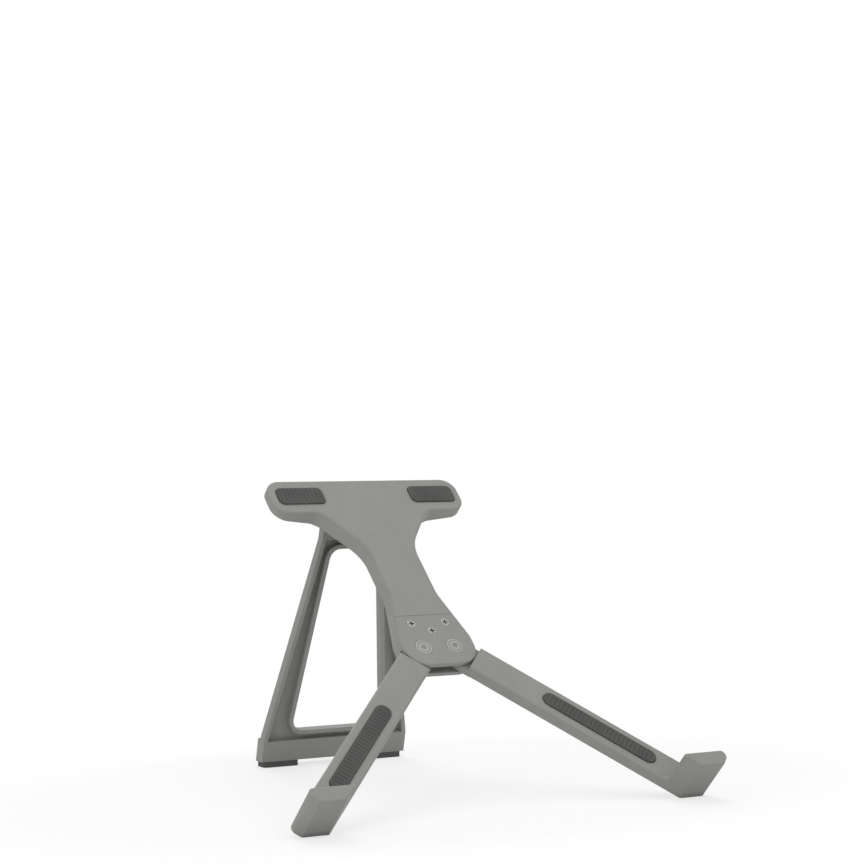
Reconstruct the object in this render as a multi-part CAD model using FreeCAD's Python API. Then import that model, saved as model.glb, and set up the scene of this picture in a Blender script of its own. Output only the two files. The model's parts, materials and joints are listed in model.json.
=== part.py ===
import FreeCAD, Part
import math
import os

# Foldable laptop stand, in millimetres.
# It is drawn flat in a deck frame and then tilted as one piece onto the table. In the deck frame X runs
# across, Y up the slope and Z out of the deck. Z = 0 is the plane of the pads' tops and Y = 0 is the inner
# face of the front hooks.

# Stance on the table
tilt_deg = 43.5
leg_lean_deg = 12.0

# Front arms and their hooks
splay_deg = 45.0
arm_width = 16.3
arm_thickness = 6.4
tip_half_span = 98.6
lip_thickness = 7.9
lip_rise = 18.8
tip_square = 7.0
tip_outer_radius = 3.3
tip_front_radius = 1.2
tip_inner_radius = 1.6
lip_round = 1.0
hook_root_radius = 2.5
arm_round = 0.9
arm_core_wall = 2.2
arm_core_roof = 2.8
arm_core_tip_margin = 16.0
arm_rib_thickness = 1.6
arm_rib_count = 6
toe_flat = 1.1
toe_height = 2.0

# Soft pads let into the plastic
pad_proud = 0.8
pad_sink = 0.8
pad_gap = 0.1
seat_pad_width = 8.0
seat_pad_length = 62.0
seat_pad_start = 16.0
hook_pad_width = 14.0
hook_pad_height = 11.0
hook_pad_base = 3.5
saddle_pad_length = 26.0
saddle_pad_width = 11.0
saddle_pad_radius = 3.0

# Hub with its two pivots
pivot_half_gap = 8.7
hub_radius = 11.2
skin = 2.2
hub_floor = 2.2
hub_tail = 20.0
tongue_thickness = 3.4
washer_thickness = 0.5
washer_radius = 6.0
washer_play = 0.1
stop_gap = 0.25
turn_gap = 0.4
parting_gap = 0.2
pivot_radius = 2.5
pivot_head_radius = 4.2
pivot_head_height = 1.2
pivot_rivet_radius = 3.7
pivot_rivet_height = 1.0
bush_wall = 1.4
run_gap = 0.05
seat_gap = 0.1
screw_radius = 1.25
screw_head_radius = 2.4
screw_head_height = 1.4
screw_length = 8.0
screw_slot_width = 0.7
screw_slot_depth = 0.7
screw_rear_inset = 5.0
screw_rear_half_gap = 9.5
screw_front_setback = 10.0

# Spine beam and rear saddle
saddle_reach = 192.0
saddle_depth = 22.0
saddle_half_width = 55.0
saddle_end_depth = 5.0
saddle_end_radius = 8.0
beam_half_width = 13.0
beam_shoulder = 34.0
beam_flare = 24.0
saddle_root_half_width = 31.0
shell_wall = 2.2
shell_round = 1.0
rib_thickness = 1.6
rib_recess = 1.2
beam_rib_count = 5
wing_rib_count = 2

# Prop leg and its hinge
leg_head_half_width = 20.0
leg_thickness = 6.0
leg_foot_half_width = 42.0
leg_rail = 10.0
leg_bar_height = 14.0
leg_bar_thickness = 9.0
leg_neck = 16.0
leg_corner_radius = 6.0
leg_core_depth = 3.4
leg_core_wall = 2.2
leg_round = 1.5
leg_bar_round = 2.5
leg_fold_gap = 0.9
barrel_radius = 6.2
heel_extra = 1.4
heel_length = 5.0
hinge_pin_radius = 2.5
hinge_head_radius = 4.0
hinge_head_height = 1.5
lug_thickness = 6.0
lug_radius = 7.2
leg_bush_wall = 1.0
leg_bush_length = 9.0
leg_bush_flange = 1.0
leg_bush_flange_radius = 5.0
side_play = 0.15
clip_thickness = 0.8
clip_radius = 4.2
clip_inset = 1.2
clip_groove = 0.6
foot_length = 20.0
foot_height = 3.0
foot_inset = 1.5
foot_corner_radius = 2.0
foot_peg_radius = 2.0
foot_peg_length = 5.0

X_AXIS = FreeCAD.Vector(1, 0, 0)
Z_AXIS = FreeCAD.Vector(0, 0, 1)
ORIGIN = FreeCAD.Vector(0, 0, 0)
FAR = 400.0

# Levels in the deck frame, from the top down
deck_top = -pad_proud
arm_bottom = deck_top - arm_thickness
roof = deck_top - skin
tongue_top = roof - washer_thickness - washer_play
tongue_bottom = tongue_top - tongue_thickness
floor_top = tongue_bottom - washer_play - washer_thickness
hub_bottom = floor_top - hub_floor
underside = min(hub_bottom, arm_bottom)

# Places in the deck frame
tilt = math.radians(tilt_deg)
lean = math.radians(leg_lean_deg)
splay = math.radians(splay_deg)
pivot_y = (tip_half_span - pivot_half_gap) / math.tan(splay)
shoulder_reach = hub_radius + turn_gap
heel_rise = barrel_radius + heel_extra
hinge_z = roof - stop_gap - heel_rise
leg_front = hinge_z - underside + leg_fold_gap
lug_inner = leg_head_half_width + leg_bush_flange + side_play
lug_outer = lug_inner + lug_thickness
saddle_front = saddle_reach - saddle_depth / 2
saddle_rear = saddle_reach + saddle_depth / 2

# Heights above the table: the toes are cut flat just above the hooks' lowest corner
toe_cut = toe_flat * math.sin(tilt) * math.cos(tilt)
corner_height = -lip_thickness * math.sin(tilt) + arm_bottom * math.cos(tilt)
table_height = corner_height + toe_cut
hinge_height = saddle_reach * math.sin(tilt) + hinge_z * math.cos(tilt) - table_height


def point(x, y, z=0.0):
    return FreeCAD.Vector(x, y, z)


def box(x0, x1, y0, y1, z0, z1):
    return Part.makeBox(x1 - x0, y1 - y0, z1 - z0, point(x0, y0, z0))


def post(x, y, radius, z0, z1):
    """A round bar along Z."""
    return Part.makeCylinder(radius, z1 - z0, point(x, y, z0), Z_AXIS)


def axle(radius, x0, x1):
    """A round bar along X, on the X axis."""
    return Part.makeCylinder(radius, x1 - x0, point(x0, 0, 0), X_AXIS)


def rounded_face(corners):
    """A flat face in XY from (x, y, radius) corners, with a tangent arc at each corner that has a radius."""
    count = len(corners)
    entries = []
    for i, (x, y, radius) in enumerate(corners):
        here = point(x, y)
        before = point(*corners[i - 1][:2]) - here
        after = point(*corners[(i + 1) % count][:2]) - here
        before.normalize()
        after.normalize()
        half = before.getAngle(after) / 2
        run = radius / math.tan(half)
        bisector = before + after
        bisector.normalize()
        mid = here + bisector * (radius / math.sin(half) - radius)
        entries.append((here + before * run, mid, here + after * run, radius))
    edges = []
    for i, (start, mid, end, radius) in enumerate(entries):
        if radius > 0:
            edges.append(Part.Arc(start, mid, end).toShape())
        edges.append(Part.LineSegment(end, entries[(i + 1) % count][0]).toShape())
    return Part.Face(Part.Wire(edges))


def raised(face, z0, z1):
    """A flat XY face pulled up into a solid from z0 to z1."""
    return face.translated(point(0, 0, z0)).extrude(point(0, 0, z1 - z0))


def slot_face(length, width):
    """A strip along X with round ends, centred on the origin."""
    a = length / 2
    b = width / 2
    return rounded_face([(-a, -b, b * 0.999), (a, -b, b * 0.999), (a, b, b * 0.999), (-a, b, b * 0.999)])


def across(profile, x0, x1):
    """A (y, z) outline pulled along X from x0 to x1."""
    wire = Part.makePolygon([point(x0, y, z) for y, z in profile + profile[:1]])
    return Part.Face(wire).extrude(point(x1 - x0, 0, 0))


def edges_where(shape, test):
    """The edges whose ends and middle all pass a test on their points."""
    chosen = []
    for edge in shape.Edges:
        ends = [edge.valueAt(edge.FirstParameter), edge.valueAt(edge.LastParameter)]
        middle = edge.valueAt((edge.FirstParameter + edge.LastParameter) / 2)
        if all(test(p) for p in ends + [middle]):
            chosen.append(edge)
    return chosen


def at(value, target):
    return abs(value - target) < 1e-4


def mirrored(shape):
    return shape.mirror(ORIGIN, X_AXIS)


# Frames: from the deck to the table, and from the leg to the table

def from_deck(shape):
    return shape.rotated(ORIGIN, X_AXIS, tilt_deg).translated(point(0, 0, -table_height))


def from_leg(shape):
    """The leg is drawn hanging straight down from its hinge axis at the origin."""
    hinge = from_deck(Part.Vertex(0, saddle_reach, hinge_z)).Point
    return shape.rotated(ORIGIN, X_AXIS, leg_lean_deg).translated(hinge)


# Left front arm, drawn in the deck frame

arm_out = point(-math.sin(splay), -math.cos(splay))
arm_side = point(-math.cos(splay), math.sin(splay))
pivot_left = point(-pivot_half_gap, pivot_y)
arm_turn_deg = 270.0 - splay_deg


def along_arm(shape):
    """Moves a shape drawn along +X from the pivot onto the left arm's line."""
    return shape.rotated(ORIGIN, Z_AXIS, arm_turn_deg).translated(pivot_left)


def on_arm(reach, side):
    return pivot_left + arm_out * reach + arm_side * side


def reach_at(y, side):
    """How far along the arm a line at the given side offset crosses the given Y."""
    return (pivot_left.y + arm_side.y * side - y) / -arm_out.y


def side_of(p):
    """How far a point lies to the side of the arm's middle line."""
    return (p - pivot_left).dot(arm_side)


def on_upper_side(p):
    """On the edge that runs along the arm's side, up the hook's root and up the back of its lip."""
    reach = (p - pivot_left).dot(arm_out)
    upper = at(p.z, deck_top) or p.y < hook_root_radius
    behind = p.y > -1e-4 and p.z > deck_top - 1e-4
    return upper and behind and at(abs(side_of(p)), arm_width / 2) and reach > shoulder_reach - 1e-4


def arm_plan():
    """The arm from above; its tip is square on the outer side and level with the front on the inner."""
    half = arm_width / 2
    end_reach = reach_at(-lip_thickness, half) - tip_square
    outer_tip = on_arm(end_reach, half)
    front_tip = on_arm(end_reach, half - tip_square / math.tan(splay))
    inner_tip = on_arm(reach_at(-lip_thickness, -half), -half)
    outer_root = on_arm(shoulder_reach, half)
    inner_root = on_arm(shoulder_reach, -half)
    return rounded_face([
        (outer_root.x, outer_root.y, 0),
        (outer_tip.x, outer_tip.y, tip_outer_radius),
        (front_tip.x, front_tip.y, tip_front_radius),
        (inner_tip.x, inner_tip.y, tip_inner_radius),
        (inner_root.x, inner_root.y, 0),
    ])


def arm_blank():
    """The bar with its hook lip, edges softened, before anything is cut into it."""
    plan = arm_plan()
    bar = raised(plan, arm_bottom, deck_top)
    hook = raised(plan, arm_bottom, lip_rise).common(box(-FAR, FAR, -FAR, 0, -FAR, FAR))
    blank = bar.fuse(hook).removeSplitter()
    blank = blank.makeFillet(hook_root_radius, edges_where(blank, lambda p: at(p.y, 0) and at(p.z, deck_top)))
    blank = blank.makeFillet(lip_round, edges_where(blank, lambda p: at(p.z, lip_rise) or on_upper_side(p)))
    low = edges_where(blank, lambda p: at(p.z, arm_bottom) and at(abs(side_of(p)), arm_width / 2))
    return blank.makeFillet(arm_round, low)


def arm_core():
    """The hollow moulded into the underside, with ribs left across it."""
    inner = arm_width / 2 - arm_core_wall
    start = shoulder_reach + arm_core_wall
    end = reach_at(0, 0) - arm_core_tip_margin
    core = box(start, end, -inner, inner, -FAR, deck_top - arm_core_roof)
    pitch = (end - start) / (arm_rib_count + 1)
    half = arm_rib_thickness / 2
    for i in range(arm_rib_count):
        middle = start + pitch * (i + 1)
        core = core.cut(box(middle - half, middle + half, -arm_width, arm_width, -FAR, FAR))
    return along_arm(core)


def seat_pad(gap, z0, z1):
    strip = raised(slot_face(seat_pad_length + 2 * gap, seat_pad_width + 2 * gap), z0, z1)
    middle = reach_at(0, 0) - seat_pad_start - seat_pad_length / 2
    return along_arm(strip.translated(point(middle, 0, 0)))


def hook_pad(gap, y0, y1):
    half = hook_pad_width / 2 + gap
    return box(
        -tip_half_span - half, -tip_half_span + half, y0, y1,
        hook_pad_base - gap, hook_pad_base + hook_pad_height + gap,
    )


def below_toe_cut(height):
    """Everything lower than the given height above the table, in the deck frame."""
    block = box(-FAR, FAR, -FAR, FAR, -FAR, table_height + height)
    return block.rotated(ORIGIN, X_AXIS, -tilt_deg)


bush_radius = pivot_radius + run_gap + bush_wall


def tongue():
    half = arm_width / 2
    overlap = arm_core_wall
    strip = box(0, shoulder_reach + overlap, -half, half, tongue_bottom, tongue_top)
    strip = strip.fuse(post(0, 0, half, tongue_bottom, tongue_top))
    strip = strip.cut(post(0, 0, bush_radius + run_gap, -FAR, FAR))
    return along_arm(strip)


def left_arm_nodes():
    blank = arm_blank()
    toe = blank.common(below_toe_cut(toe_height)).cut(below_toe_cut(0))
    arm = blank.cut(below_toe_cut(toe_height)).cut(arm_core())
    arm = arm.fuse(tongue()).removeSplitter()
    arm = arm.cut(seat_pad(pad_gap, deck_top - pad_sink, FAR))
    arm = arm.cut(hook_pad(pad_gap, -pad_sink, FAR))
    bush = post(0, 0, bush_radius, tongue_bottom, tongue_top)
    bush = along_arm(bush.cut(post(0, 0, pivot_radius + run_gap, -FAR, FAR)))
    return {
        "arm": arm,
        "toe": toe,
        "seat_pad": seat_pad(0, deck_top - pad_sink, deck_top + pad_proud),
        "hook_pad": hook_pad(0, -pad_sink, pad_proud),
        "pivot_bush": bush,
    }


# Hub, spine and saddle, drawn in the deck frame

def spine_plan():
    """One outline round the hub, the beam and the saddle."""
    hub_half = pivot_half_gap + hub_radius
    right = [
        (hub_half, pivot_y - hub_radius, hub_radius * 0.999),
        (hub_half, pivot_y + hub_radius / 2, hub_radius),
        (beam_half_width, pivot_y + beam_shoulder, beam_flare),
        (beam_half_width, saddle_front - beam_flare, beam_flare),
        (saddle_root_half_width, saddle_front, saddle_end_radius),
        (saddle_half_width, saddle_front, saddle_end_radius),
        (saddle_half_width, saddle_rear, saddle_end_radius),
    ]
    left = [(-x, y, radius) for x, y, radius in reversed(right)]
    return rounded_face(right + left)


def tongue_room():
    """Where both arm tongues turn between the hub's floor and its cover, with the stop faces at its sides."""
    clear = arm_width / 2 + turn_gap
    stop = arm_width / 2 + stop_gap
    sweep = hub_radius * 3
    at_stop = pivot_left + arm_side * stop
    outline = [
        pivot_left,
        at_stop,
        at_stop + arm_out * sweep,
        pivot_left + point(-sweep, -sweep * 2),
        pivot_left + point(clear, -sweep * 2),
        pivot_left + point(clear, 0),
    ]
    face = Part.Face(Part.makePolygon(outline + outline[:1]))
    left = raised(face, floor_top, roof)
    left = left.fuse(post(pivot_left.x, pivot_y, clear, floor_top, roof))
    middle = pivot_half_gap / 2
    bridge = box(-middle, middle, -FAR, pivot_y + middle, floor_top, roof)
    return left.fuse(mirrored(left)).fuse(bridge)


def screw_places():
    rear = pivot_y + hub_tail - screw_rear_inset
    return [
        (0, pivot_y + screw_front_setback),
        (-screw_rear_half_gap, rear),
        (screw_rear_half_gap, rear),
    ]


def hub_screw(x, y):
    under_head = deck_top - screw_head_height
    head = Part.makeCone(screw_radius, screw_head_radius, screw_head_height, point(x, y, under_head))
    screw = head.fuse(post(x, y, screw_radius, deck_top - screw_length, under_head))
    reach = screw_head_radius * 0.6
    half = screw_slot_width / 2
    for a, b in ((reach, half), (half, reach)):
        screw = screw.cut(box(x - a, x + a, y - b, y + b, deck_top - screw_slot_depth, FAR))
    return screw


def screw_hole(x, y):
    """Countersunk in the cover, plain below it."""
    sink = Part.makeCone(
        screw_radius + seat_gap, screw_head_radius + seat_gap, screw_head_height,
        point(x, y, deck_top - screw_head_height),
    )
    return sink.fuse(post(x, y, screw_radius + seat_gap, deck_top - screw_length - seat_gap, deck_top))


def pivot_hole():
    """The pin's way through the cover and the floor, with a seat for each of its heads."""
    hole = post(pivot_left.x, pivot_y, pivot_radius + run_gap, -FAR, FAR)
    head = post(pivot_left.x, pivot_y, pivot_head_radius + seat_gap, deck_top - pivot_head_height, FAR)
    rivet = post(pivot_left.x, pivot_y, pivot_rivet_radius + seat_gap, -FAR, hub_bottom + pivot_rivet_height)
    return hole.fuse(head).fuse(rivet)


def pivot_pin():
    shank = post(pivot_left.x, pivot_y, pivot_radius, hub_bottom, deck_top)
    head = post(pivot_left.x, pivot_y, pivot_head_radius, deck_top - pivot_head_height, deck_top)
    rivet = post(pivot_left.x, pivot_y, pivot_rivet_radius, hub_bottom, hub_bottom + pivot_rivet_height)
    return shank.fuse(head).fuse(rivet).removeSplitter()


def pivot_washers():
    ring = post(pivot_left.x, pivot_y, washer_radius, 0, washer_thickness)
    ring = ring.cut(post(pivot_left.x, pivot_y, pivot_radius + seat_gap, -FAR, FAR))
    upper = ring.translated(point(0, 0, roof - washer_thickness))
    lower = ring.translated(point(0, 0, floor_top))
    return Part.makeCompound([upper, lower])


def saddle_pad(gap, z0, z1):
    a = saddle_pad_length / 2 + gap
    b = saddle_pad_width / 2 + gap
    radius = saddle_pad_radius + gap
    x = -(saddle_half_width - saddle_end_radius / 2 - saddle_pad_length / 2)
    face = rounded_face([(-a, -b, radius), (a, -b, radius), (a, b, radius), (-a, b, radius)])
    return raised(face.translated(point(x, saddle_reach, 0)), z0, z1)


def spine_ribs(cavity):
    """Zigzag ribs along the beam and straight ribs across the saddle's wings, trimmed to the hollow."""
    low = hub_bottom + rib_recess
    half = rib_thickness / 2
    start = pivot_y + hub_tail
    pitch = (saddle_front - start) / beam_rib_count
    wide = saddle_root_half_width
    ribs = []
    for i in range(beam_rib_count):
        y0 = start + pitch * i
        y1 = y0 + pitch
        side = beam_half_width if i % 2 else -beam_half_width
        line = point(2 * side, y1 - y0)
        shift = point(-line.y, line.x)
        shift.normalize()
        shift = shift * half
        a = point(-side, y0) - line * 0.5
        b = point(side, y1) + line * 0.5
        corners = [a - shift, b - shift, b + shift, a + shift]
        face = Part.Face(Part.makePolygon(corners + corners[:1]))
        within = box(-FAR, FAR, y0 - half, y1 + half, -FAR, FAR)
        ribs.append(raised(face, low, roof).common(within))
    ribs.append(box(-wide, wide, saddle_front - half, saddle_front + half, low, roof))
    wing = (saddle_half_width - lug_outer) / (wing_rib_count + 1)
    for i in range(wing_rib_count):
        x = lug_outer + wing * (i + 1)
        ribs.append(box(x - half, x + half, saddle_front, saddle_rear, low, roof))
        ribs.append(box(-x - half, -x + half, saddle_front, saddle_rear, low, roof))
    return ribs[0].multiFuse(ribs[1:]).common(cavity)


def wing_taper():
    """What is cut from under the saddle so that its wings thin towards their ends."""
    profile = [
        (saddle_root_half_width, hub_bottom - 1),
        (saddle_root_half_width, hub_bottom),
        (saddle_half_width, deck_top - saddle_end_depth),
        (saddle_half_width + 1, deck_top - saddle_end_depth),
        (saddle_half_width + 1, hub_bottom - 1),
    ]
    wire = Part.makePolygon([point(x, saddle_front - 1, z) for x, z in profile + profile[:1]])
    right = Part.Face(wire).extrude(point(0, saddle_depth + 2, 0))
    return right.fuse(mirrored(right))


def hinge_lugs():
    lug = Part.makeCylinder(lug_radius, lug_thickness, point(-lug_outer, saddle_reach, hinge_z), X_AXIS)
    web = box(-lug_outer, -lug_inner, saddle_reach - lug_radius, saddle_reach + lug_radius, hinge_z, roof)
    left = lug.fuse(web)
    return left.fuse(mirrored(left))


def leg_room():
    """Open space between the lugs for the leg's barrel and its heel, open to the rear and below."""
    front = saddle_reach - barrel_radius - leg_fold_gap
    return box(-lug_inner, lug_inner, front, FAR, -FAR, roof)


def spine_nodes():
    plan = spine_plan()
    block = raised(plan, hub_bottom, deck_top)
    block = block.makeFillet(shell_round, edges_where(block, lambda p: at(p.z, deck_top)))
    cover_end = pivot_y + hub_tail
    drill = screw_hole(*screw_places()[0]).multiFuse([screw_hole(*place) for place in screw_places()[1:]])
    pins = pivot_hole().fuse(mirrored(pivot_hole()))
    cover = block.common(box(-FAR, FAR, -FAR, cover_end, roof, FAR)).cut(drill).cut(pins)

    inside = plan.makeOffset2D(-shell_wall)
    cavity = raised(inside, hub_bottom, roof).common(box(-FAR, FAR, cover_end, FAR, -FAR, FAR))
    tapered = block.cut(wing_taper())
    spine = tapered.cut(box(-FAR, FAR, -FAR, cover_end + parting_gap, roof, FAR))
    spine = spine.cut(cavity)
    spine = spine.fuse(spine_ribs(cavity.cut(wing_taper())))
    spine = spine.fuse(hinge_lugs()).cut(leg_room())
    hinge = Part.makeCylinder(hinge_pin_radius + run_gap, 2 * FAR, point(-FAR, saddle_reach, hinge_z), X_AXIS)
    spine = spine.cut(hinge).cut(tongue_room()).cut(drill).cut(pins)
    pad_sinks = saddle_pad(pad_gap, deck_top - pad_sink, FAR)
    spine = spine.cut(pad_sinks).cut(mirrored(pad_sinks)).removeSplitter()
    pad = saddle_pad(0, deck_top - pad_sink, deck_top + pad_proud)
    return {
        "spine": spine,
        "hub_cover": cover,
        "hub_screws": Part.makeCompound([hub_screw(*place) for place in screw_places()]),
        "pivot_pin_left": pivot_pin(),
        "pivot_pin_right": mirrored(pivot_pin()),
        "pivot_washers_left": pivot_washers(),
        "pivot_washers_right": mirrored(pivot_washers()),
        "saddle_pad_left": pad,
        "saddle_pad_right": mirrored(pad),
    }


# Prop leg, drawn hanging straight down from its hinge axis

leg_length = hinge_height / math.cos(lean)
leg_bore = hinge_pin_radius + run_gap + leg_bush_wall


def leg_plan():
    """The leg's outline seen square on, as an XY face with Y running up the leg."""
    foot = leg_length + leg_bar_thickness
    knee = leg_length - leg_bar_height
    right = [
        (leg_foot_half_width, -foot, 0),
        (leg_foot_half_width, -knee, leg_bar_height),
        (leg_head_half_width, -leg_neck, leg_bar_height),
        (leg_head_half_width, 0, 0),
    ]
    left = [(-x, y, radius) for x, y, radius in reversed(right)]
    return rounded_face(right + left)


def leg_window():
    top = -leg_neck - leg_rail / 2
    bottom = -leg_length + leg_bar_height + leg_rail / 2
    a = leg_head_half_width - leg_rail * 0.6
    b = leg_foot_half_width - leg_rail * 1.5
    r = leg_corner_radius
    return rounded_face([(-a, top, r), (a, top, r), (b, bottom, r), (-b, bottom, r)])


def upright(face, y0, y1):
    """An XY face stood up so that its Y runs along Z, with its thickness from y0 to y1."""
    plate = face.extrude(point(0, 0, -(y1 - y0)))
    return plate.rotated(ORIGIN, X_AXIS, 90).translated(point(0, y0, 0))


def leg_heel():
    """The stop: a heel on the barrel that meets the spine's roof when the leg stands open. Deck frame."""
    back = leg_front + leg_thickness
    plate_turn = lean - tilt
    plate_y = back * math.cos(plate_turn)
    plate_z = back * math.sin(plate_turn)
    profile = [
        (0, heel_rise),
        (heel_length, heel_rise),
        (max(back, heel_length), heel_rise / 2),
        (plate_y, plate_z),
        (0, 0),
    ]
    profile = [(saddle_reach + y, hinge_z + z) for y, z in profile]
    return across(profile, -leg_head_half_width, leg_head_half_width)


def leg_foot_middle():
    """The middle of the foot bar at the height where it meets its feet, in the leg's own turned frame."""
    y = leg_front + leg_bar_thickness / 2
    z = (foot_height - hinge_height - y * math.sin(lean)) / math.cos(lean)
    return y * math.cos(lean) - z * math.sin(lean)


def foot_place(shape):
    """Moves a shape drawn on the table at the origin to the left foot's place under the leg."""
    hinge = from_deck(Part.Vertex(0, saddle_reach, hinge_z)).Point
    x = -(leg_foot_half_width - foot_inset - foot_length / 2)
    return shape.translated(point(x, hinge.y + leg_foot_middle(), 0))


def leg_foot():
    a = foot_length / 2
    b = leg_bar_thickness / math.cos(lean) / 2
    r = foot_corner_radius
    pad = raised(rounded_face([(-a, -b, r), (a, -b, r), (a, b, r), (-a, b, r)]), 0, foot_height)
    peg = post(0, 0, foot_peg_radius, foot_height, foot_height + foot_peg_length)
    return foot_place(pad.fuse(peg).removeSplitter())


def leg_bush():
    """A flanged bush in the left end of the barrel."""
    left = -leg_head_half_width
    bush = axle(leg_bore, left, left + leg_bush_length)
    bush = bush.fuse(axle(leg_bush_flange_radius, left - leg_bush_flange, left))
    return bush.cut(axle(hinge_pin_radius + run_gap, -FAR, FAR))


def leg_nodes():
    plate = upright(leg_plan(), leg_front, leg_front + leg_thickness).cut(upright(leg_window(), -FAR, FAR))
    plate = plate.makeFillet(leg_round, edges_where(plate, lambda p: at(p.y, leg_front + leg_thickness)))
    bar_low = -leg_length - leg_bar_thickness
    bar_top = -leg_length + leg_bar_height
    bar = box(
        -leg_foot_half_width, leg_foot_half_width, leg_front, leg_front + leg_bar_thickness, bar_low, bar_top
    )
    bar_edges = edges_where(bar, lambda p: at(p.y, leg_front + leg_bar_thickness))
    bar = bar.makeFillet(leg_bar_round, [edge for edge in bar_edges if edge.Length > leg_bar_height / 2])
    plate = plate.fuse(bar)
    rim = leg_plan().makeOffset2D(-leg_core_wall)
    core = upright(rim, leg_front, leg_front + leg_core_depth)
    core = core.common(box(-FAR, FAR, -FAR, FAR, bar_top, -leg_neck))
    core = core.cut(upright(leg_window().makeOffset2D(leg_core_wall), -FAR, FAR))
    plate = plate.cut(core)
    barrel = axle(barrel_radius, -leg_head_half_width, leg_head_half_width)
    leg = from_leg(plate.fuse(barrel)).fuse(from_deck(leg_heel())).removeSplitter()
    leg = leg.cut(from_leg(axle(hinge_pin_radius + seat_gap, -FAR, FAR)))
    bush_seat = from_leg(axle(leg_bore + run_gap, leg_head_half_width - leg_bush_length - seat_gap, FAR))
    leg = leg.cut(bush_seat).cut(mirrored(bush_seat))
    leg = leg.cut(box(-FAR, FAR, -FAR, FAR, -FAR, foot_height))
    peg_hole = foot_place(post(0, 0, foot_peg_radius + seat_gap, 0, foot_height + foot_peg_length + seat_gap))
    leg = leg.cut(peg_hole).cut(mirrored(peg_hole)).removeSplitter()

    pin_end = lug_outer + clip_inset + clip_thickness + clip_inset
    pin = axle(hinge_pin_radius, -lug_outer, pin_end)
    pin = pin.fuse(axle(hinge_head_radius, -lug_outer - hinge_head_height, -lug_outer)).removeSplitter()
    clip_start = lug_outer + seat_gap
    groove = axle(FAR, clip_start, clip_start + clip_thickness)
    pin = pin.cut(groove.cut(axle(hinge_pin_radius - clip_groove, -FAR, FAR)))
    clip = axle(clip_radius, clip_start, clip_start + clip_thickness)
    clip = clip.cut(axle(hinge_pin_radius - clip_groove + run_gap, -FAR, FAR))
    mouth = hinge_pin_radius - clip_groove
    clip = clip.cut(box(-FAR, FAR, -mouth, mouth, -FAR, 0))
    bush = leg_bush()
    return {
        "leg": leg,
        "leg_hinge_pin": from_leg(pin),
        "leg_hinge_clip": from_leg(clip),
        "leg_bush_left": from_leg(bush),
        "leg_bush_right": from_leg(mirrored(bush)),
        "leg_foot_left": leg_foot(),
        "leg_foot_right": mirrored(leg_foot()),
    }


def assemble():
    """Every node on the table, before the origin is set."""
    nodes = {}
    for name, shape in left_arm_nodes().items():
        nodes[name + "_left"] = from_deck(shape)
        nodes[name + "_right"] = from_deck(mirrored(shape))
    for name, shape in spine_nodes().items():
        nodes[name] = from_deck(shape)
    nodes.update(leg_nodes())
    return nodes


def main():
    """Centres the stand on its own footprint and writes one file for each node."""
    nodes = assemble()
    whole = Part.makeCompound(list(nodes.values())).optimalBoundingBox(False, False)
    shift = point(0, -(whole.YMin + whole.YMax) / 2, 0)
    os.makedirs("parts", exist_ok=True)
    for name, shape in nodes.items():
        placed = shape.translated(shift)
        placed.exportStep("parts/" + name + ".step")
        print(name, len(placed.Solids), "solids", placed.isValid(), round(placed.Volume))
    pivot = from_deck(Part.Vertex(pivot_left.x, pivot_y, 0)).translated(shift).Point
    hinge = from_deck(Part.Vertex(0, saddle_reach, hinge_z)).translated(shift).Point
    print("left pivot", tuple(pivot))
    print("leg hinge", tuple(hinge))
    print("leg fold angle", 90 - tilt_deg + leg_lean_deg)
    print("size", whole.XLength, whole.YLength, whole.ZLength, "lowest", whole.ZMin)


main()
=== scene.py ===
import json
import math

import bmesh
import bpy
import numpy as np
from mathutils import Matrix, Vector


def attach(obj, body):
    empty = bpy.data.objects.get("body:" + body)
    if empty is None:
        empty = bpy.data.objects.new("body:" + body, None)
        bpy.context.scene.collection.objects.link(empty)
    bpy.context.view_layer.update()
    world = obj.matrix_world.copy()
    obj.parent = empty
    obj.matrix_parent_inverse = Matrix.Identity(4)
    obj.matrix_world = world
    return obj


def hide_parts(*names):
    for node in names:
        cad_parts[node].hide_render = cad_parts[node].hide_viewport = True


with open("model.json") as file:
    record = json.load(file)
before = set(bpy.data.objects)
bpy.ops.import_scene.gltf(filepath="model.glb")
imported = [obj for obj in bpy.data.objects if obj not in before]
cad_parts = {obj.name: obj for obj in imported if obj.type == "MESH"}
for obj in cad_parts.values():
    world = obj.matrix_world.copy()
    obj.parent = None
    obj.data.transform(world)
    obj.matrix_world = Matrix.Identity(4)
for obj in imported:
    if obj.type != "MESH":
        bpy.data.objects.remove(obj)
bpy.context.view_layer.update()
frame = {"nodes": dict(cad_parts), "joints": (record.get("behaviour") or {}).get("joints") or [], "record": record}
nodes = frame["nodes"]
MM = 0.001
SIDES = {"left": -1, "right": 1}

# The deck: the sloping plane of the pads' tops, read from the arms' pivots

pivots = {joint["child"]: joint for joint in frame["joints"]}
ACROSS = np.array([1.0, 0.0, 0.0])
DECK_NORMAL = np.array(pivots["arm_left"]["axis"])
UP_SLOPE = np.cross(DECK_NORMAL, ACROSS)
DECK_AXES = np.array([ACROSS, UP_SLOPE, DECK_NORMAL])
HOOK_AXES = np.array([ACROSS, -DECK_NORMAL, UP_SLOPE])
ARM_SPLAY = math.radians(45)

# The photograph's camera, placed from the left arm's pivot along the deck's axes

CAMERA_FROM_PIVOT = np.array([-0.53558, -0.58990, 0.71594])
CAMERA_PLACE = np.array(pivots["arm_left"]["pos_m"]) + CAMERA_FROM_PIVOT @ DECK_AXES
CAMERA_AZIMUTH = math.radians(30.389)
CAMERA_DIP = math.radians(0.594)
CAMERA_ROLL = math.radians(0.281)
CAMERA_LENS = 91.995
SENSOR_WIDTH = 36.0

# Soft pads

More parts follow.
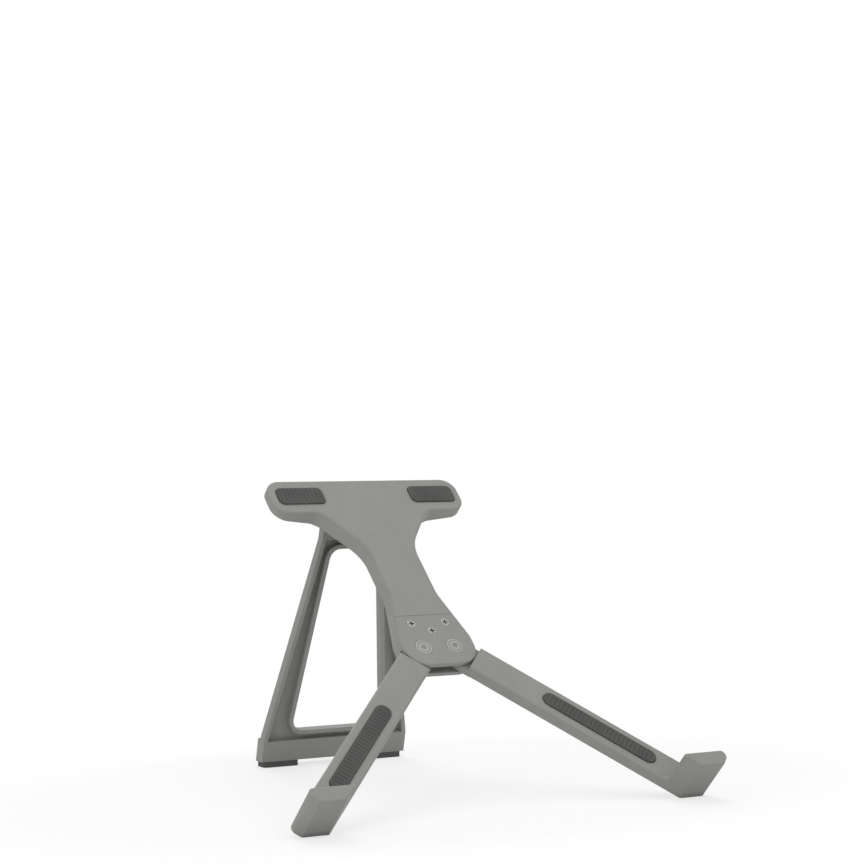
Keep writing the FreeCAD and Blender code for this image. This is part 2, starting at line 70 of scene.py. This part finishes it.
SEAT_CORNER = 4 * MM
HOOK_CORNER = 1 * MM
SADDLE_CORNER = 3 * MM
PAD_ROUND = 0.45 * MM
RIB_PITCH = 2.2 * MM
HOOK_RIB_PITCH = 1.8 * MM
RIB_DEPTH = 0.38 * MM
RIB_FADE = 0.7 * MM
RIB_SHARPNESS = 4
SAMPLES_PER_RIB = 16
ARC_SAMPLES = 16
EDGE_SAMPLES = 6
TOP_SAMPLES = 13
MERGE_DISTANCE = 1e-7

# Noise mostly lies between these two

NOISE_LOW = 0.3
NOISE_HIGH = 0.7

# Moulded finishes: how far an edge's normal agrees with the face's, from an edge painted paler, partly as rub wear
# and partly as a painted highlight, to flat

EDGE_RADIUS = 0.4 * MM
PAD_EDGE_RADIUS = 0.1 * MM
WEAR_AND_HIGHLIGHT_AGREEMENT = 0.75
FLAT_AGREEMENT = 0.99
LEAST_EDGE_MARK = 0.2
EDGE_MARK_PATCH = 5 * MM
COLOUR_CLOUD = 14 * MM
NORMAL_SAMPLES = 6

# Plated steel: how much of its surroundings a point sees, from deep in a recess to the open, which sets the
# painted shade in its recesses

STEEL_EDGE_RADIUS = 0.3 * MM
RING_PITCH = 0.7 * MM
PLATING_GRAIN = 0.5 * MM
MARK_DEPTH = 0.02 * MM
MARK_LOW = 0.36
MARK_HIGH = 0.64
SHEEN_CLOUD = 3 * MM
STEEL_GLOSS = (0.32, 0.48)
RECESS_REACH = 0.9 * MM
RECESS_DEEP = 0.35
RECESS_OPEN = 0.8
RECESS_SAMPLES = 6

# Colours, linear

PLASTIC_GREY = (0.248, 0.247, 0.233)
PLASTIC_SHADE = (0.230, 0.229, 0.216)
# Edge colour: rounded edges painted paler, partly rub wear and partly a painted highlight where edges catch the
# light
PLASTIC_EDGE_WEAR_AND_HIGHLIGHT = (0.288, 0.286, 0.271)
SOFT_GREY = (0.226, 0.224, 0.211)
SOFT_SHADE = (0.204, 0.202, 0.190)
PAD_DARK = (0.040, 0.040, 0.039)
PAD_DUST = (0.062, 0.061, 0.058)
# Edge colour: the pads' rounded edges painted paler, partly rub wear and partly a painted highlight
PAD_EDGE_WEAR_AND_HIGHLIGHT = (0.085, 0.084, 0.080)
STEEL = (0.40, 0.395, 0.385)
STEEL_SHADE = (0.25, 0.247, 0.24)
RING_SHADE = (0.13, 0.128, 0.124)
# Painted shade: the dark that steel is drawn towards deep in recesses and round sunk heads
STEEL_RECESS_PAINTED_SHADE = (0.06, 0.058, 0.055)
BEARING = (0.66, 0.65, 0.60)
BEARING_SHADE = (0.60, 0.58, 0.53)

# Floor and light

FLOOR_SIZE = 8.0
FLOOR_WHITE = (0.90, 0.90, 0.90, 1)
FLOOR_ROUGHNESS = 0.9
FLOOR_OVAL = (0.8, 1.3, 1.0)
FLOOR_CLEAR_NEAR = 0.66
FLOOR_CLEAR_START = 0.15
FLOOR_CLEAR_END = 0.22
FLOOR_OPEN_REACH = 0.08
FLOOR_TAKEN = 0.84
FLOOR_FREE = 0.98
FLOOR_SAMPLES = 12
WORLD_WHITE = (1, 1, 1, 1)
WORLD_STRENGTH = 0.5
LIGHT_TARGET = Vector((0, 0, 0.06))
LIGHT_SIZE = 1.0
LIGHTS = {
    "key": {"place": (0.45, -1.0, 1.0), "power": 5.0},
    "fill": {"place": (-1.2, -0.4, 0.6), "power": 5.0},
    "top": {"place": (0.1, 0.3, 1.3), "power": 4.0},
    "back": {"place": (0.2, 1.2, 0.8), "power": 4.0},
}


# Material nodes

def start_material(name):
    """A new node material with its shader and the object's own coordinates."""
    material = bpy.data.materials.new(name)
    material.use_nodes = True
    tree = material.node_tree
    shader = tree.nodes["Principled BSDF"]
    place = tree.nodes.new("ShaderNodeTexCoord")
    return material, tree, shader, place.outputs["Object"]


def noise(tree, place, size, detail=3.0, roughness=0.5):
    """Noise with lumps of about the given size in metres."""
    node = tree.nodes.new("ShaderNodeTexNoise")
    node.inputs["Scale"].default_value = 1.0 / size
    node.inputs["Detail"].default_value = detail
    node.inputs["Roughness"].default_value = roughness
    tree.links.new(place, node.inputs["Vector"])
    return node.outputs["Fac"]


def rings(tree, distance, pitch, detail=3.0):
    """Noise over a distance alone, so that it makes rings or bands of about the given pitch in metres."""
    node = tree.nodes.new("ShaderNodeTexNoise")
    node.noise_dimensions = "1D"
    node.inputs["Scale"].default_value = 1.0 / pitch
    node.inputs["Detail"].default_value = detail
    tree.links.new(distance, node.inputs["W"])
    return node.outputs["Fac"]


def spread(tree, value, low, high, start=NOISE_LOW, end=NOISE_HIGH, form="LINEAR"):
    """A value between start and end stretched to lie between low and high."""
    node = tree.nodes.new("ShaderNodeMapRange")
    node.interpolation_type = form
    node.inputs["From Min"].default_value = start
    node.inputs["From Max"].default_value = end
    node.inputs["To Min"].default_value = low
    node.inputs["To Max"].default_value = high
    tree.links.new(value, node.inputs["Value"])
    return node.outputs["Result"]


def between(tree, factor, first, second):
    """A colour that goes from the first to the second with the factor.

    Each of the two is three numbers or a socket."""
    node = tree.nodes.new("ShaderNodeMix")
    node.data_type = "RGBA"
    for socket, colour in (("A", first), ("B", second)):
        if isinstance(colour, tuple):
            node.inputs[socket].default_value = (*colour, 1)
        else:
            tree.links.new(colour, node.inputs[socket])
    tree.links.new(factor, node.inputs["Factor"])
    return node.outputs["Result"]


def calculate(tree, kind, first, second):
    """Two values joined by the Math operation of that kind."""
    node = tree.nodes.new("ShaderNodeMath")
    node.operation = kind
    tree.links.new(first, node.inputs[0])
    tree.links.new(second, node.inputs[1])
    return node.outputs["Value"]


def combine(tree, kind, first, second):
    """Two vectors, or a vector and three numbers, joined by the Vector Math operation of that kind."""
    node = tree.nodes.new("ShaderNodeVectorMath")
    node.operation = kind
    tree.links.new(first, node.inputs[0])
    if isinstance(second, bpy.types.NodeSocket):
        tree.links.new(second, node.inputs[1])
    else:
        node.inputs[1].default_value = second
    return node.outputs["Value" if kind == "DOT_PRODUCT" else "Vector"]


def length(tree, vector):
    """How long a vector is."""
    node = tree.nodes.new("ShaderNodeVectorMath")
    node.operation = "LENGTH"
    tree.links.new(vector, node.inputs[0])
    return node.outputs["Value"]


def rounded_normal(tree, radius):
    """The surface's normal as if its sharp edges were rounded by a small radius."""
    node = tree.nodes.new("ShaderNodeBevel")
    node.samples = NORMAL_SAMPLES
    node.inputs["Radius"].default_value = radius
    return node.outputs["Normal"]


def edge_share(tree, rounded):
    """0 on a flat and 1 along an edge, by how far the rounded normal turns away from the surface's own."""
    surface = tree.nodes.new("ShaderNodeNewGeometry")
    agreement = combine(tree, "DOT_PRODUCT", rounded, surface.outputs["Normal"])
    return spread(tree, agreement, 1.0, 0.0, WEAR_AND_HIGHLIGHT_AGREEMENT, FLAT_AGREEMENT)


def surroundings_seen(tree, reach, samples, inside=False):
    """How much of what lies within reach a point sees, before the surface or, if inside, behind it."""
    node = tree.nodes.new("ShaderNodeAmbientOcclusion")
    node.samples = samples
    node.inside = inside
    node.inputs["Distance"].default_value = reach
    return node.outputs["AO"]


def bump(tree, shader, height, distance, normal):
    """Fine relief on top of the given normal."""
    node = tree.nodes.new("ShaderNodeBump")
    node.inputs["Distance"].default_value = distance
    tree.links.new(height, node.inputs["Height"])
    tree.links.new(normal, node.inputs["Normal"])
    tree.links.new(node.outputs["Normal"], shader.inputs["Normal"])


# Finishes

def moulded(name, light, shade, edge, gloss, grain, depth, edge_radius=EDGE_RADIUS):
    """Moulded plastic or rubber: cloudy colour, a fine eroded grain, and rounded edges painted paler, partly as
    rub wear and partly as a painted highlight.

    The gloss is the lowest and highest roughness. Grain and depth are the relief's width and height."""
    material, tree, shader, place = start_material(name)
    cloud = noise(tree, place, COLOUR_CLOUD, detail=4.0)
    fine = noise(tree, place, grain, roughness=0.6)
    rounded = rounded_normal(tree, edge_radius)
    patches = spread(tree, noise(tree, place, EDGE_MARK_PATCH), LEAST_EDGE_MARK, 1.0)
    # Edges painted paler in patches: partly rub wear, partly a painted highlight
    edge_wear_and_highlight = calculate(tree, "MULTIPLY", edge_share(tree, rounded), patches)
    body = between(tree, spread(tree, cloud, 0.0, 1.0), light, shade)
    tree.links.new(between(tree, edge_wear_and_highlight, body, edge), shader.inputs["Base Color"])
    tree.links.new(spread(tree, fine, *gloss), shader.inputs["Roughness"])
    bump(tree, shader, fine, depth, rounded)
    return material


def plated_steel(name, axis=None, centre=None):
    """Plated steel, dull, and darkened by painted shade in its recesses.

    With an axis it has rings of tool marks: noise over the distance from that axis."""
    material, tree, shader, place = start_material(name)
    if axis is None:
        shade = STEEL_SHADE
        marks = noise(tree, place, PLATING_GRAIN)
    else:
        shade = RING_SHADE
        out = combine(tree, "CROSS_PRODUCT", combine(tree, "SUBTRACT", place, centre), axis)
        marks = rings(tree, length(tree, out), RING_PITCH)
    plating = between(tree, spread(tree, marks, 0.0, 1.0, MARK_LOW, MARK_HIGH), STEEL, shade)
    # Painted shade: the steel turns darker where its surroundings close in, as in a recess or round a sunk head
    seen = surroundings_seen(tree, RECESS_REACH, RECESS_SAMPLES)
    painted_recess_shade = spread(tree, seen, 1.0, 0.0, RECESS_DEEP, RECESS_OPEN)
    tree.links.new(between(tree, painted_recess_shade, plating, STEEL_RECESS_PAINTED_SHADE), shader.inputs["Base Color"])
    tree.links.new(spread(tree, noise(tree, place, SHEEN_CLOUD), *STEEL_GLOSS), shader.inputs["Roughness"])
    shader.inputs["Metallic"].default_value = 1.0
    bump(tree, shader, marks, MARK_DEPTH, rounded_normal(tree, STEEL_EDGE_RADIUS))
    return material


finishes = {
    "grey_plastic": moulded(
        "moulded_grey", PLASTIC_GREY, PLASTIC_SHADE, PLASTIC_EDGE_WEAR_AND_HIGHLIGHT,
        gloss=(0.50, 0.62), grain=0.35 * MM, depth=0.012 * MM),
    # Its edges are painted in the paler PLASTIC_SHADE, partly rub wear and partly a painted highlight
    "grey_soft_rubber": moulded(
        "soft_grey", SOFT_GREY, SOFT_SHADE, PLASTIC_SHADE,
        gloss=(0.66, 0.78), grain=0.3 * MM, depth=0.015 * MM),
    "dark_rubber": moulded(
        "dark_rubber", PAD_DARK, PAD_DUST, PAD_EDGE_WEAR_AND_HIGHLIGHT,
        gloss=(0.62, 0.78), grain=0.25 * MM, depth=0.012 * MM, edge_radius=PAD_EDGE_RADIUS),
    "steel": plated_steel("plated_steel"),
    "bearing_plastic": moulded(
        "bearing_plastic", BEARING, BEARING_SHADE, BEARING,
        gloss=(0.34, 0.44), grain=0.6 * MM, depth=0.004 * MM),
}
PIN_BODIES = {"pivot_pin_left": "arm_left", "pivot_pin_right": "arm_right", "leg_hinge_pin": "leg"}
turned_pins = {
    pin: plated_steel(f"turned_{pin}", pivots[body]["axis"], pivots[body]["pos_m"])
    for pin, body in PIN_BODIES.items()
}


def dress(piece, finish):
    """Gives every face of a piece that finish."""
    piece.data.materials.clear()
    piece.data.materials.append(finish)


# Meshes

def grid_faces(rows, columns):
    """Quads between the neighbouring points of a grid."""
    corner = (np.arange(rows - 1)[:, None] * columns + np.arange(columns - 1)).ravel()
    return np.stack([corner, corner + columns, corner + columns + 1, corner + 1], axis=-1)


def grid_rim(rows, columns):
    """The numbers of a grid's outermost points, once round."""
    index = np.arange(rows * columns).reshape(rows, columns)
    return np.concatenate([index[0, :-1], index[:-1, -1], index[-1, :0:-1], index[:0:-1, 0]])


def make_mesh(name, points, *face_groups):
    """A new object at the origin with those points and faces."""
    mesh = bpy.data.meshes.new(name)
    mesh.from_pydata(points.tolist(), [], [face for group in face_groups for face in group.tolist()])
    mesh.validate()
    piece = bpy.data.objects.new(name, mesh)
    bpy.context.scene.collection.objects.link(piece)
    return piece


def close_and_smooth(piece):
    """Merges the points that meet at a round end, turns the faces outwards and shades them smoothly."""
    work = bmesh.new()
    work.from_mesh(piece.data)
    bmesh.ops.remove_doubles(work, verts=work.verts, dist=MERGE_DISTANCE)
    bmesh.ops.recalc_face_normals(work, faces=work.faces)
    work.to_mesh(piece.data)
    work.free()
    piece.data.polygons.foreach_set("use_smooth", np.ones(len(piece.data.polygons), dtype=bool))


# Ribbed pads

def extent(node, axes):
    """Middle and half size of a node along three axes at right angles."""
    co = np.empty(len(nodes[node].data.vertices) * 3)
    nodes[node].data.vertices.foreach_get("co", co)
    along = co.reshape(-1, 3) @ axes.T
    low = along.min(axis=0)
    high = along.max(axis=0)
    return (low + high) / 2 @ axes, (high - low) / 2


def quarter_turn(samples):
    """Sines of evenly spaced angles from just past 0 to a right angle."""
    return np.sin(np.linspace(0, math.pi / 2, samples))[1:]


def pad_plan(half_length, half_width, corner, pitch):
    """A grid over a rounded rectangle: x and y of its points, and how far in from the rim each one lies.

    Its rows stand evenly along the straight run and at even turns round the corners. Each row spans the
    width there, which at the ends follows the corners' circles, with its points closer set near the rim.
    The distance in from the rim is the corner's radius less the distance out from the inner rectangle."""
    straight = half_length - corner
    inner_width = half_width - corner
    end = straight + corner * quarter_turn(ARC_SAMPLES)
    run = np.linspace(-straight, straight, int(2 * straight / pitch * SAMPLES_PER_RIB))
    x = np.concatenate([-end[::-1], run, end])[:, None]
    past = np.clip(np.abs(x) - straight, 0, corner)
    width = inner_width + np.sqrt(corner * corner - past * past)
    rim = np.minimum(PAD_ROUND, width)
    flat = (width - rim) * np.linspace(-1, 1, TOP_SAMPLES)
    edge = width - rim + rim * quarter_turn(EDGE_SAMPLES)
    y = np.concatenate([-edge[:, ::-1], flat, edge], axis=1)
    x = np.broadcast_to(x, y.shape)
    beyond_x = np.abs(x) - straight
    beyond_y = np.abs(y) - inner_width
    outside = np.hypot(np.maximum(beyond_x, 0), np.maximum(beyond_y, 0))
    inside = np.minimum(np.maximum(beyond_x, beyond_y), 0)
    return x, y, np.maximum(corner - outside - inside, 0)


def pad_drop(x, inward, pitch):
    """How far a pad's top lies below its highest level.

    The rim is a quarter round. Narrow grooves run across the pad, a raised cosine to a power along its
    length, and fade out smoothly towards the rim."""
    short = PAD_ROUND - np.minimum(inward, PAD_ROUND)
    rounding = PAD_ROUND - np.sqrt(PAD_ROUND ** 2 - short ** 2)
    fade = np.clip((inward - PAD_ROUND) / RIB_FADE, 0, 1)
    groove = (0.5 + 0.5 * np.cos(2 * math.pi * x / pitch)) ** RIB_SHARPNESS
    return rounding + RIB_DEPTH * groove * fade * fade * (3 - 2 * fade)


def ribbed_pad(name, node, body, axes, corner, pitch):
    """A soft pad in place of a node: a grooved top, straight walls down from its rim, and a flat base."""
    middle, (half_length, half_width, half_height) = extent(node, axes)
    x, y, inward = pad_plan(half_length, half_width, min(corner, half_width), pitch)
    z = half_height - pad_drop(x, inward, pitch)
    top = np.stack([x, y, z], axis=-1).reshape(-1, 3)
    rim = grid_rim(*x.shape)
    foot = top[rim] * (1, 1, 0) - (0, 0, half_height)
    points = np.concatenate([top, foot, [[0, 0, -half_height]]])
    low = len(top) + np.arange(len(rim))
    wall = np.stack([rim, np.roll(rim, -1), np.roll(low, -1), low], axis=-1)
    base = np.stack([low, np.roll(low, -1), np.full(len(rim), len(points) - 1)], axis=-1)
    piece = make_mesh(name, middle + points @ axes, grid_faces(*x.shape), wall, base)
    close_and_smooth(piece)
    dress(piece, finishes["dark_rubber"])
    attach(piece, body)
    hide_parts(node)


def arm_axes(sign):
    """Along the arm to its tip, across it and out of the deck."""
    along = ACROSS * sign * math.sin(ARM_SPLAY) - UP_SLOPE * math.cos(ARM_SPLAY)
    return np.array([along, np.cross(DECK_NORMAL, along), DECK_NORMAL])


for side, sign in SIDES.items():
    arm = f"arm_{side}"
    ribbed_pad(f"seat_strip_{side}", f"seat_pad_{side}", arm, arm_axes(sign), SEAT_CORNER, RIB_PITCH)
    ribbed_pad(f"hook_strip_{side}", f"hook_pad_{side}", arm, HOOK_AXES, HOOK_CORNER, HOOK_RIB_PITCH)
    ribbed_pad(f"saddle_strip_{side}", f"saddle_pad_{side}", "spine", DECK_AXES, SADDLE_CORNER, RIB_PITCH)

for entry in frame["record"]["subparts"]:
    node = entry["node"]
    dress(nodes[node], turned_pins.get(node, finishes[entry["material_slot"]]))


# Floor, light and camera

def camera_sees(tree):
    """1 for rays from the camera, also by way of gloss or glass, so that all show the white behind."""
    path = tree.nodes.new("ShaderNodeLightPath")
    total = path.outputs["Is Camera Ray"]
    for kind in ("Is Glossy Ray", "Is Transmission Ray"):
        total = calculate(tree, "MAXIMUM", total, path.outputs[kind])
    return total


def floor_material():
    """Matt white that the camera sees through, more and more away from the object, into the white behind.

    What shows of it is an oval, wider across than deep. From below it is clear. It also opens over
    whatever swings lower than the floor, found by how much of the room below is taken, so that it hides
    little of it."""
    material, tree, shader, place = start_material("pale_floor")
    shader.inputs["Base Color"].default_value = FLOOR_WHITE
    shader.inputs["Roughness"].default_value = FLOOR_ROUGHNESS
    shader.inputs["Specular IOR Level"].default_value = 0.0
    away = length(tree, combine(tree, "MULTIPLY", place, FLOOR_OVAL))
    rise = spread(tree, away, FLOOR_CLEAR_NEAR, 1.0, FLOOR_CLEAR_START, FLOOR_CLEAR_END, "SMOOTHSTEP")
    room_below = surroundings_seen(tree, FLOOR_OPEN_REACH, FLOOR_SAMPLES, inside=True)
    lower = spread(tree, room_below, 1.0, 0.0, FLOOR_TAKEN, FLOOR_FREE)
    opened = calculate(tree, "MAXIMUM", rise, lower)
    seen_through = calculate(tree, "MULTIPLY", opened, camera_sees(tree))
    surface = tree.nodes.new("ShaderNodeNewGeometry")
    share = calculate(tree, "MAXIMUM", seen_through, surface.outputs["Backfacing"])
    clear = tree.nodes.new("ShaderNodeBsdfTransparent")
    mix = tree.nodes.new("ShaderNodeMixShader")
    tree.links.new(share, mix.inputs["Fac"])
    tree.links.new(shader.outputs["BSDF"], mix.inputs[1])
    tree.links.new(clear.outputs["BSDF"], mix.inputs[2])
    tree.links.new(mix.outputs["Shader"], tree.nodes["Material Output"].inputs["Surface"])
    return material


def lay_floor():
    """One large square at the height that the object stands on."""
    half = FLOOR_SIZE / 2
    corners = np.array([[-half, -half, 0], [half, -half, 0], [half, half, 0], [-half, half, 0]])
    floor = make_mesh("floor", corners, np.array([[0, 1, 2, 3]]))
    floor.data.materials.append(floor_material())


def light_world():
    """White where the camera looks past the floor, and a softer even light on the object."""
    world = bpy.data.worlds.new("studio")
    bpy.context.scene.world = world
    world.use_nodes = True
    tree = world.node_tree
    background = tree.nodes["Background"]
    background.inputs["Color"].default_value = WORLD_WHITE
    strength = spread(tree, camera_sees(tree), WORLD_STRENGTH, 1.0, 0.0, 1.0)
    tree.links.new(strength, background.inputs["Strength"])


def soft_light(name, place, power):
    """A round lamp that faces the middle of the object."""
    lamp = bpy.data.lights.new(name, "AREA")
    lamp.shape = "DISK"
    lamp.size = LIGHT_SIZE
    lamp.energy = power
    light = bpy.data.objects.new(name, lamp)
    light.location = place
    light.rotation_euler = (LIGHT_TARGET - Vector(place)).to_track_quat("-Z", "Y").to_euler()
    bpy.context.scene.collection.objects.link(light)


def set_camera():
    """Stands the camera where the photograph was taken from, level but for its small dip and roll."""
    data = bpy.data.cameras.new("camera")
    data.lens = CAMERA_LENS
    data.sensor_width = SENSOR_WIDTH
    data.dof.use_dof = False
    camera = bpy.data.objects.new("camera", data)
    turn = Matrix.Rotation(-CAMERA_AZIMUTH, 4, "Z")
    dip = Matrix.Rotation(math.pi / 2 - CAMERA_DIP, 4, "X")
    roll = Matrix.Rotation(CAMERA_ROLL, 4, "Z")
    camera.matrix_world = Matrix.Translation(CAMERA_PLACE) @ turn @ dip @ roll
    bpy.context.scene.collection.objects.link(camera)
    bpy.context.scene.camera = camera


lay_floor()
light_world()
for name, lamp in LIGHTS.items():
    soft_light(name, **lamp)
set_camera()
bpy.context.scene.view_settings.view_transform = "Standard"
